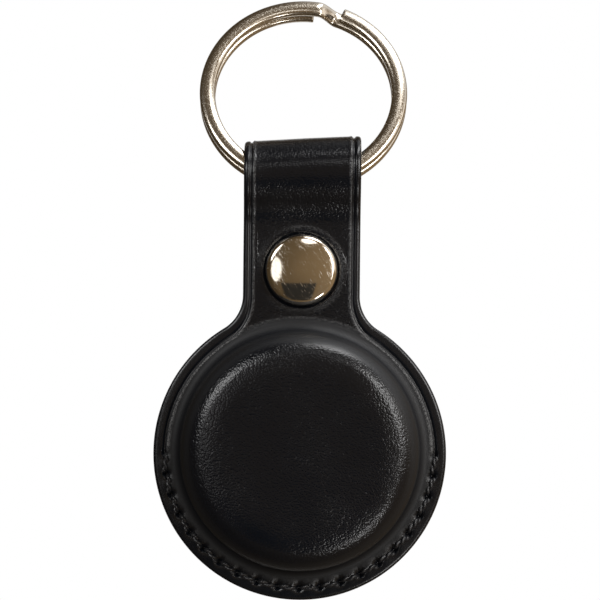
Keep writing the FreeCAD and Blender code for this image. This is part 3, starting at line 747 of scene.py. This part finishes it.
# Mixes in that light grey, speckled by the pores, where the raised lips are noted: partly scuff wear, partly
# a painted highlight.
scuff_and_highlight = worked(leather_grain, "MULTIPLY", ranged(leather_grain, pore, 0.42, 0.62), taken["Scuff_highlight"])
dyed = blended(leather_grain, hollow, taken["Worn"], taken["Deep"])
leather_grain.links.new(blended(leather_grain, scuff_and_highlight, dyed, scuff_highlight_grey), given["Tone"])
leather_grain.links.new(roughness, given["Roughness"])
leather_grain.links.new(height, given["Height"])


def hide(name, deep, worn, pebble_size, sheen, depth):
    """Leather in one finish: its colour in the pores and on the worn grain, and how deep the grain is."""
    values = {"Deep": (*deep, 1), "Worn": (*worn, 1), "Pebble": pebble_size, "Sheen": sheen}
    skin, grained = surfaced(name, leather_grain, values, 1.0, depth)
    # Reads the pressed and burnished zones, and where light grey is painted on raised lips: partly scuff
    # wear, partly a painted highlight.
    for finish in ("Pressed", "Burnished", "Scuff_highlight"):
        noted = add(skin.node_tree, "ShaderNodeAttribute", {}, attribute_name=finish.lower())
        skin.node_tree.links.new(noted.outputs["Fac"], grained.inputs[finish])
    return skin


grain_black = hide("grain_black", (0.0014, 0.0020, 0.0036), (0.0030, 0.0040, 0.0064), 0.58, 0.13, 0.05 * mm)
edge_paint = hide("edge_paint", (0.004, 0.004, 0.004), (0.008, 0.008, 0.008), 0.2, 0.30, 0.03 * mm)
flesh_suede = hide("flesh_suede", (0.012, 0.011, 0.011), (0.030, 0.028, 0.027), 0.3, 0.75, 0.12 * mm)
front_leather = piece("front_leather", bm, grain_black, edge_paint, flesh_suede)
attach(front_leather, "holder")
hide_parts("front_panel")

# Back leather: a flat disc of the same hide, sewn to the front round its lower half and left more
# matte. Its upper half is loose and bends away as the mouth that the tag goes in by.
back_steps = 64
back_rows = [row * mm for row in (2.3, 2.6, 3.0, 3.5)]
mouth_pitch = 0.5 * mm
mouth_lines = 25
back_pitch = 1.5 * mm
back_lines = 11
first_above = 9
bend_below = 1.5 * mm
bend_above = 8.0 * mm
bm, (_, burnished_note, scuff_highlight_note) = noted_mesh("inset", "burnished", "scuff_highlight")
point = bmesh.ops.create_vert(bm, co=(0, -pocket_radius, grain))["vert"][0]
point = swing(bm, point, (0, 0, grain), math.pi / 2, seam_steps)
swing(bm, point, (0, 0, grain), math.pi / 2, back_steps)
face = blank(bm)
outline = face.edges[:]
inner = margin(bm, face, crease_rows + back_rows)
bmesh.ops.triangle_fill(bm, use_beauty=True, edges=inner, normal=(0, 0, 1))
inner, grain_side, cut_side = thicken(bm, outline)
bmesh.ops.triangle_fill(bm, use_beauty=True, edges=inner, normal=(0, 0, -1))
sort_finishes(bm, grain_side, cut_side)
cuts = [((0, mouth_pitch * row, 0), (0, 1, 0)) for row in range(mouth_lines)]
cuts += [((0, back_pitch * row, 0), (0, 1, 0))
         for row in (*range(-back_lines, 0), *range(first_above, back_lines + 1))]
cuts += [((back_pitch * column, 0, 0), (1, 0, 0)) for column in range(-back_lines, back_lines + 1)]
for place, normal in cuts:
    bmesh.ops.bisect_plane(bm, geom=bm.verts[:] + bm.edges[:] + bm.faces[:], dist=weld, plane_co=place,
                           plane_no=normal)
for point in bm.verts:
    across, rise, out = point.co
    if out > 0:
        inset = max(pocket_radius - math.hypot(across, rise), 0.0)
        loose = unseamed(rise)
        out += margin_relief(inset, pocket_crease, loose) + (1 - loose) * seam_relief(across, rise, inset)
        out += waved(across, rise)
        point[burnished_note] = burnished(inset, pocket_crease)
        # Light grey painted along the crease lip: partly scuff wear, partly a painted highlight.
        point[scuff_highlight_note] = loose * beside_crease(inset, pocket_crease)
    point.co = pocket_middle + Vector((across, leather / 2 + out, rise))
bmesh.ops.recalc_face_normals(bm, faces=bm.faces[:])
back_black = hide("back_black", (0.0030, 0.0034, 0.0046), (0.0065, 0.0070, 0.0085), 0.8, 0.42, 0.06 * mm)
back_leather = piece("back_leather", bm, back_black, edge_paint, flesh_suede)
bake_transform(back_leather, "holder", "mouth", start=mouth_hinge - Vector((0, 0, bend_below)),
         end=mouth_hinge + Vector((0, 0, bend_above)))
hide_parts("back_panel", "mouth_flap")

# Strap tail: the front leather's far end, which comes down behind the ring and carries the
# snap's stud. It is the same strip of hide, and bends open just under the fold.
tail_hinge = Vector(joints["tail_bend"]["pos_m"])
tail_run = 26.7 * mm
tail_corner = 6.0 * mm
corner_steps = 20
tail_rows = 60
rows_end = 22 * mm
tuck_angle = math.radians(4.9)
tuck_run = 3.0 * mm
tail_end = 20 * mm
tail_reach = 6.5 * mm
below_stud = 2.7 * mm
rivet_hole = 1.2 * mm
rivet_steps = 64
stud_run = 2 * bend_run + bend_start - snap_rise
tail_straight = stud_run - 2 * bend_run + below_stud
tail_bends = ((bend_run, bend_angle), (bend_run, -bend_angle), (tail_straight, 0), (tuck_run, tuck_angle),
              (tail_end, 0))
bm, (inset_note, burnished_note, scuff_highlight_note) = noted_mesh("inset", "burnished", "scuff_highlight")
point = bmesh.ops.create_vert(bm, co=(0, tail_run, grain))["vert"][0]
point = run_to(bm, point, (strap_half - tail_corner, tail_run, grain))
point = swing(bm, point, (strap_half - tail_corner, tail_run - tail_corner, grain), -math.pi / 2,
              corner_steps)
point = run_to(bm, point, (strap_half, -spare, grain))
run_to(bm, point, (0, -spare, grain))
face = blank(bm)
outline = face.edges[:]
inner = margin(bm, face, crease_rows)


def dent_chain(start):
    """The hide pressed in round the rivet's head."""
    for radius, drop in ((3.7, 0.0), (3.95, 0.05), (4.1, 0.03), (4.4, 0.0), (4.8, 0.0)):
        start = run_to(bm, start, (radius * mm, stud_run, grain - drop * mm))


dent_rims = turned(bm, (rivet_hole, stud_run, grain), dent_chain, (0, stud_run, 0), rivet_steps)
bmesh.ops.triangle_fill(bm, use_beauty=True, edges=inner + dent_rims[rivet_steps:], normal=(0, 0, 1))
inner, grain_side, cut_side = thicken(bm, outline)


def rivet_chain(start):
    """The flesh side's land round the hole for the stud's rivet."""
    run_to(bm, start, (rivet_hole + hole_land, stud_run, flesh))


hole_rims = turned(bm, (rivet_hole, stud_run, flesh), rivet_chain, (0, stud_run, 0), rivet_steps)
bmesh.ops.triangle_fill(bm, use_beauty=True, edges=inner + hole_rims[rivet_steps:], normal=(0, 0, -1))
bmesh.ops.bridge_loops(bm, edges=dent_rims[:rivet_steps] + hole_rims[:rivet_steps])
sort_finishes(bm, grain_side, cut_side)
cut_rows(bm, 0.0, rows_end, tail_rows, inner_side=True)
tail_start = (tail_hinge.y, tail_hinge.z - pocket_middle.z)
for point in bm.verts:
    across, run, out = point.co
    if abs(out - grain) < skin_depth:
        inset = point[inset_note]
        out += margin_relief(inset, strap_crease, 1.0) + waved(across, run)
        point[burnished_note] = burnished(inset, strap_crease)
        # Light grey painted along the crease lip: partly scuff wear, partly a painted highlight.
        point[scuff_highlight_note] = beside_crease(inset, strap_crease)
    depth, height, heading = bent(tail_start, math.pi, tail_bends, run)
    depth -= math.cos(heading) * out
    height += math.sin(heading) * out
    point.co = Vector((across, depth, pocket_middle.z + height + slanted(across, height)))
bmesh.ops.recalc_face_normals(bm, faces=bm.faces[:])
tail_leather = piece("tail_leather", bm, grain_black, edge_paint, flesh_suede)
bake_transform(tail_leather, "holder", "tail", start=tail_hinge, end=tail_hinge - Vector((0, 0, tail_reach)))
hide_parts("strap_tail")

# Lock stitching: a waxed black two-ply thread in front and another behind, which meet in the
# needle holes. Each stitch lies a little slanted in its groove and dives into the hole at each end.
thread = 0.8 * mm
ply = 0.36 * thread
ply_offset = 0.24 * thread
ply_points = 8
stitch_end = 0.06
stitch_slant = 0.26 * mm
stitch_twist = 1.25 * math.tau
stitch_steps = 16
bed_sink = 0.08 * mm
dive = 1.1 * mm
dive_power = 7
dive_tilt = 1.4
tilt_power = 6
wax_black = hide("wax_black", (0.008, 0.008, 0.009), (0.020, 0.020, 0.022), 0.4, 0.24, 0.04 * mm)


def ply_place(stitch, part, start_turn, side):
    """Where a ply's middle is at a part of a stitch, and which way it runs there."""
    turn = math.pi + stitch_pitch * (stitch + stitch_end + (1 - 2 * stitch_end) * part)
    outward = Vector((math.cos(turn), 0, math.sin(turn)))
    along = Vector((-math.sin(turn), 0, math.cos(turn)))
    from_middle = abs(2 * part - 1)
    middle = (seam_radius + stitch_slant * (1 - 2 * part) * side) * outward
    middle.y = side * (leather - bed_sink - dive * from_middle ** dive_power)
    ply_turn = start_turn + stitch_twist * part
    middle += ply_offset * (outward * math.cos(ply_turn) + Vector((0, side * math.sin(ply_turn), 0)))
    along.y = -side * (1 if part > 0.5 else -1) * from_middle ** tilt_power * dive_tilt
    return Matrix.Translation(pocket_middle + middle) @ along.to_track_quat("Z", "Y").to_matrix().to_4x4()


def sewn(name, side):
    """One thread of the seam; side is -1 in front and 1 behind."""
    bm = bmesh.new()
    for stitch in range(stitch_count):
        for start_turn in (0.0, math.pi):
            points = bmesh.ops.create_circle(bm, segments=ply_points, radius=ply)["verts"]
            edges = list({edge for point in points for edge in point.link_edges})
            bmesh.ops.contextual_create(bm, geom=edges)
            placed = Matrix.Identity(4)
            for step in range(stitch_steps + 1):
                target = ply_place(stitch, step / stitch_steps, start_turn, side)
                if step:
                    made = bmesh.ops.extrude_edge_only(bm, edges=edges)["geom"]
                    points = [item for item in made if isinstance(item, bmesh.types.BMVert)]
                    edges = [item for item in made
                             if isinstance(item, bmesh.types.BMEdge) and item.is_boundary]
                bmesh.ops.transform(bm, matrix=target @ placed.inverted(), verts=points)
                placed = target
            bmesh.ops.contextual_create(bm, geom=edges)
    bmesh.ops.recalc_face_normals(bm, faces=bm.faces[:])
    return piece(name, bm, wax_black)


front_stitches = sewn("front_stitches", -1)
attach(front_stitches, "holder")
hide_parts("needle_thread")
back_stitches = sewn("back_stitches", 1)
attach(back_stitches, "holder")
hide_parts("bobbin_thread")

# Snap cap: a thin nickel-plated shell drawn to a low crown, its edge curled in over the rivet's
# head. It is polished, and handling has left fine rub marks on it.
cap_radius = 5.2 * mm
cap_side = 0.9 * mm
cap_curl = 0.5 * mm
cap_shoulder = 0.9 * mm
cap_crown = math.radians(14.0)
cap_metal = 0.32 * mm
cap_fold = 1.0 * mm
cap_steps = 128
snap_axis = pocket_middle + Vector((0, 0, snap_rise))
crown_edge = cap_radius - cap_shoulder * (1 - math.sin(cap_crown))
crown_radius = crown_edge / math.sin(cap_crown)
shoulder_top = cap_side + cap_shoulder * math.cos(cap_crown)
crown_height = shoulder_top + crown_radius * (1 - math.cos(cap_crown))
bm = bmesh.new()


def cap_chain(start):
    """The shell's section from the crown's middle, out over the shoulder and in under the curl."""
    shoulder_middle = (cap_radius - cap_shoulder, 0, cap_side)
    point = swing(bm, start, (0, 0, start.co.z - crown_radius), cap_crown, 14, (0, 1, 0))
    point = swing(bm, point, shoulder_middle, math.pi / 2 - cap_crown, 14, (0, 1, 0))
    point = run_to(bm, point, (cap_radius, 0, cap_curl), 2)
    point = swing(bm, point, (cap_radius - cap_curl, 0, cap_curl), math.pi / 2, 8, (0, 1, 0))
    point = run_to(bm, point, (cap_radius - cap_fold, 0, 0))
    point = run_to(bm, point, (cap_radius - cap_fold, 0, cap_metal))
    point = run_to(bm, point, (cap_radius - cap_metal, 0, cap_metal))
    point = run_to(bm, point, (cap_radius - cap_metal, 0, cap_side))
    point = run_to(bm, point, (cap_radius - cap_shoulder, 0, shoulder_top - cap_metal), 3)
    run_to(bm, point, (0, 0, shoulder_top - cap_metal))


turned(bm, (0, 0, crown_height), cap_chain, (0, 0, 0), cap_steps)
facing_front = Matrix.Rotation(math.pi / 2, 4, "X")
cap_seat = snap_axis + Vector((0, cap_sink - leather, 0))
bmesh.ops.transform(bm, matrix=Matrix.Translation(cap_seat) @ facing_front, verts=bm.verts[:])
bmesh.ops.recalc_face_normals(bm, faces=bm.faces[:])
cap_nickel = plated("cap_nickel", (0.82, 0.755, 0.655), (0.77, 0.70, 0.60), 0.075, 1.0)
snap_cap = piece("snap_cap_shell", bm, cap_nickel)
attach(snap_cap, "holder")
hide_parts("snap_cap")

# Tail rivet: a plated tubular rivet, whose ring of a head shows behind the tail and whose post
# is clenched inside the stud.
rivet_radius = 3.9 * mm
rivet_height = 0.6 * mm
rivet_round = 0.5 * mm
rivet_bore = 0.83 * mm
bore_round = 0.35 * mm
rivet_post = 1.15 * mm
rivet_clench = 1.45 * mm
clench_depth = 0.24 * mm
stud_top = 0.71 * mm
head_steps = 96
bm = bmesh.new()


def rivet_section(start):
    """From the bore over the rounded head, down its seat and along the post to the clench."""
    top = rivet_height
    foot = -(snap_gap + leather - stud_top)
    edge_middle = (rivet_radius - rivet_round, 0, top - rivet_round)
    point = swing(bm, start, (rivet_bore + bore_round, 0, top - bore_round), math.pi / 2, 6, (0, 1, 0))
    point = run_to(bm, point, (rivet_radius - rivet_round, 0, top), 2)
    point = swing(bm, point, edge_middle, math.pi / 2, 8, (0, 1, 0))
    point = run_to(bm, point, (rivet_radius, 0, 0))
    point = run_to(bm, point, (rivet_post, 0, 0))
    point = run_to(bm, point, (rivet_post, 0, foot + clench_depth))
    point = run_to(bm, point, (rivet_clench, 0, foot + clench_depth))
    point = run_to(bm, point, (rivet_clench, 0, foot))
    point = run_to(bm, point, (rivet_bore, 0, foot))
    run_to(bm, point, (rivet_bore, 0, top - bore_round))


turned(bm, (rivet_bore, 0, rivet_height - bore_round), rivet_section, (0, 0, 0), head_steps)
facing_back = Matrix.Rotation(-math.pi / 2, 4, "X")
rivet_seat = snap_axis + Vector((0, snap_gap + leather, 0))
bmesh.ops.transform(bm, matrix=Matrix.Translation(rivet_seat) @ facing_back, verts=bm.verts[:])
bmesh.ops.recalc_face_normals(bm, faces=bm.faces[:])
snap_nickel = plated("snap_nickel", (0.76, 0.745, 0.72), (0.66, 0.645, 0.62), 0.16, 0.6)
stud_rivet = piece("tail_rivet", bm, snap_nickel)
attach(stud_rivet, "tail")
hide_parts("stud_rivet")

# Inside the snap: the drawn socket, its open wire spring, the cap's brass rivet and the stud
# on the tail. They are turned and pressed pieces that show only when the snap is open.
rivet_brass = plated("rivet_brass", (0.72, 0.56, 0.31), (0.58, 0.44, 0.24), 0.22, 0.7)
spring_steel = plated("spring_steel", (0.56, 0.56, 0.57), (0.42, 0.42, 0.43), 0.24, 0.8)
for node, metal in (("snap_socket", snap_nickel), ("snap_stud", snap_nickel), ("cap_rivet", rivet_brass),
                    ("socket_spring", spring_steel)):
    held = frame["nodes"][node]
    held.data.materials.clear()
    held.data.materials.append(metal)

# Floor and light: the holder hangs over a round pale floor and before a white backdrop. Round the
# camera are soft windows of light in a dim, warm room, and the polished cap mirrors them and the
# camera's dark box.
floor_radius = 0.24
floor_back = 0.6
floor_drop = 0.45
floor_middle = Vector((0, floor_back, cad_low.z - floor_drop))
bm = bmesh.new()
bmesh.ops.create_circle(bm, cap_ends=True, segments=128, radius=floor_radius)
bmesh.ops.translate(bm, vec=floor_middle, verts=bm.verts[:])


def looked_at(tree):
    """1 for a ray that shows a thing, seen, mirrored or through glass, and 0 for one that lights it; and
    1 for the camera's own rays."""
    rays = add(tree, "ShaderNodeLightPath", {}).outputs
    mirrored = worked(tree, "MAXIMUM", rays["Is Camera Ray"], rays["Is Glossy Ray"])
    return worked(tree, "MAXIMUM", mirrored, rays["Is Transmission Ray"]), rays["Is Camera Ray"]


floor_white = bpy.data.materials.new("floor_white")
floor_white.use_nodes = True
tree = floor_white.node_tree
shown, _ = looked_at(tree)
place = add(tree, "ShaderNodeTexCoord", {}).outputs["Object"]
from_middle = add(tree, "ShaderNodeVectorMath", {0: place, 1: floor_middle}, operation="DISTANCE")
faded = ranged(tree, from_middle.outputs["Value"], 0.4 * floor_radius, 0.97 * floor_radius, 0.25, 1.0)
paper = blended(tree, speckle(tree, place, 60.0, 3.0), (0.86, 0.86, 0.86, 1), (0.90, 0.90, 0.90, 1))
shader = tree.nodes["Principled BSDF"]
shader.inputs["Roughness"].default_value = 0.9
tree.links.new(paper, shader.inputs["Base Color"])
glow = add(tree, "ShaderNodeEmission", {"Color": (1, 1, 1, 1), "Strength": 1.0}).outputs["Emission"]
mixed = add(tree, "ShaderNodeMixShader",
            {0: worked(tree, "MULTIPLY", shown, faded), 1: shader.outputs["BSDF"], 2: glow})
tree.links.new(mixed.outputs["Shader"], tree.nodes["Material Output"].inputs["Surface"])
floor = piece("floor", bm, floor_white)

skylight_toward = (0.55, 0.15, 0.82)
dim_room = (0.06, 0.043, 0.024, 1)
lit_room = (0.28, 0.20, 0.115, 1)
fill_grey = (0.26, 0.255, 0.25, 1)
world = bpy.data.worlds.new("studio")
bpy.context.scene.world = world
world.use_nodes = True
tree = world.node_tree
shown, by_camera = looked_at(tree)
outward = add(tree, "ShaderNodeTexCoord", {}).outputs["Generated"]
toward = add(tree, "ShaderNodeSeparateXYZ", {"Vector": outward}).outputs
overhead = add(tree, "ShaderNodeVectorMath", {0: outward, 1: skylight_toward}, operation="DOT_PRODUCT")
skylight = ranged(tree, overhead.outputs["Value"], 0.78, 0.92, 0.0, 0.9)
bright = worked(tree, "MAXIMUM", ranged(tree, toward["Y"], 0.86, 0.94), skylight)
white = worked(tree, "MAXIMUM", by_camera, bright)
dusk = worked(tree, "MULTIPLY_ADD", worked(tree, "ABSOLUTE", toward["Z"]), -0.5, toward["X"])
uneven = worked(tree, "MULTIPLY_ADD", speckle(tree, outward, 1.6, 2.0), 0.5, dusk)
room = blended(tree, ranged(tree, uneven, -0.55, 0.85), dim_room, lit_room)
backdrop = add(tree, "ShaderNodeBackground",
               {"Strength": 1.0, "Color": blended(tree, white, room, (1, 1, 1, 1))}).outputs["Background"]
fill = tree.nodes["Background"]
fill.inputs["Color"].default_value = fill_grey
mixed = add(tree, "ShaderNodeMixShader", {0: shown, 1: fill.outputs["Background"], 2: backdrop})
tree.links.new(mixed.outputs["Shader"], tree.nodes["World Output"].inputs["Surface"])


def aimed(aside, above, distance):
    """A place round the snap, so many degrees to the right of the camera's line and up from it, and
    the turn that faces the snap from there."""
    aside, above = math.radians(aside), math.radians(above)
    away = Vector((math.sin(aside) * math.cos(above), -math.cos(aside) * math.cos(above), math.sin(above)))
    return snap_axis + distance * away, away.to_track_quat("Z", "Y")


def window(name, aside, above, distance, width, height, brightness):
    """A soft oval window of light, placed by its angles from the camera's line."""
    lamp = bpy.data.lights.new(name, "AREA")
    lamp.shape = "ELLIPSE"
    lamp.size = width
    lamp.size_y = height
    lamp.energy = brightness * math.pi * width * height * math.pi / 4
    item = bpy.data.objects.new(name, lamp)
    place, turn = aimed(aside, above, distance)
    item.location = place
    item.rotation_euler = turn.to_euler()
    item.visible_camera = False
    bpy.context.scene.collection.objects.link(item)


window("left_window", -24, 1, 0.5, 0.095, 0.19, 1.6)
window("corner_window", -37, 23, 0.6, 0.24, 0.24, 7.0)
window("top_window", 8, 29, 0.5, 0.13, 0.07, 2.4)
window("right_window", 33, 2, 0.5, 0.05, 0.20, 4.0)
window("right_light", 41, 17, 0.6, 0.18, 0.36, 9.0)
window("low_window", 26, -32, 0.5, 0.10, 0.10, 11.0)
window("ring_light", 50, 63, 0.6, 0.46, 0.20, 7.0)
window("side_light", 72, 16, 0.6, 0.30, 0.40, 0.9)

box_width, box_height = 0.27, 0.14
box_taper = 0.62
bm = bmesh.new()
bmesh.ops.create_grid(bm, x_segments=1, y_segments=1, size=0.5)
for point in bm.verts:
    if point.co.y < 0:
        point.co.x *= box_taper
place, turn = aimed(-2.6, -20.5, 0.45)
bmesh.ops.transform(bm, matrix=Matrix.LocRotScale(place, turn, (box_width, box_height, 1)), verts=bm.verts[:])
camera_black = hide("camera_black", (0.006, 0.0055, 0.005), (0.014, 0.0125, 0.0105), 0.2, 0.6, 0.03 * mm)
camera_box = piece("camera_box", bm, camera_black)
camera_box.visible_camera = False
camera_box.visible_shadow = False

lens_pixels = 2615
image_pixels = 600
sensor = 36.0
camera_distance = 0.380
camera_rise = 22.34 * mm
camera_aside = -0.19 * mm
camera_roll = math.radians(-0.6)
eye = bpy.data.cameras.new("camera")
eye.sensor_width = sensor
eye.lens = lens_pixels / image_pixels * sensor
camera = bpy.data.objects.new("camera", eye)
camera.location = pocket_middle + Vector((camera_aside, -leather - camera_distance, camera_rise))
camera.rotation_euler = (math.pi / 2, camera_roll, 0)
bpy.context.scene.collection.objects.link(camera)
bpy.context.scene.camera = camera
bpy.context.scene.view_settings.view_transform = "Standard"
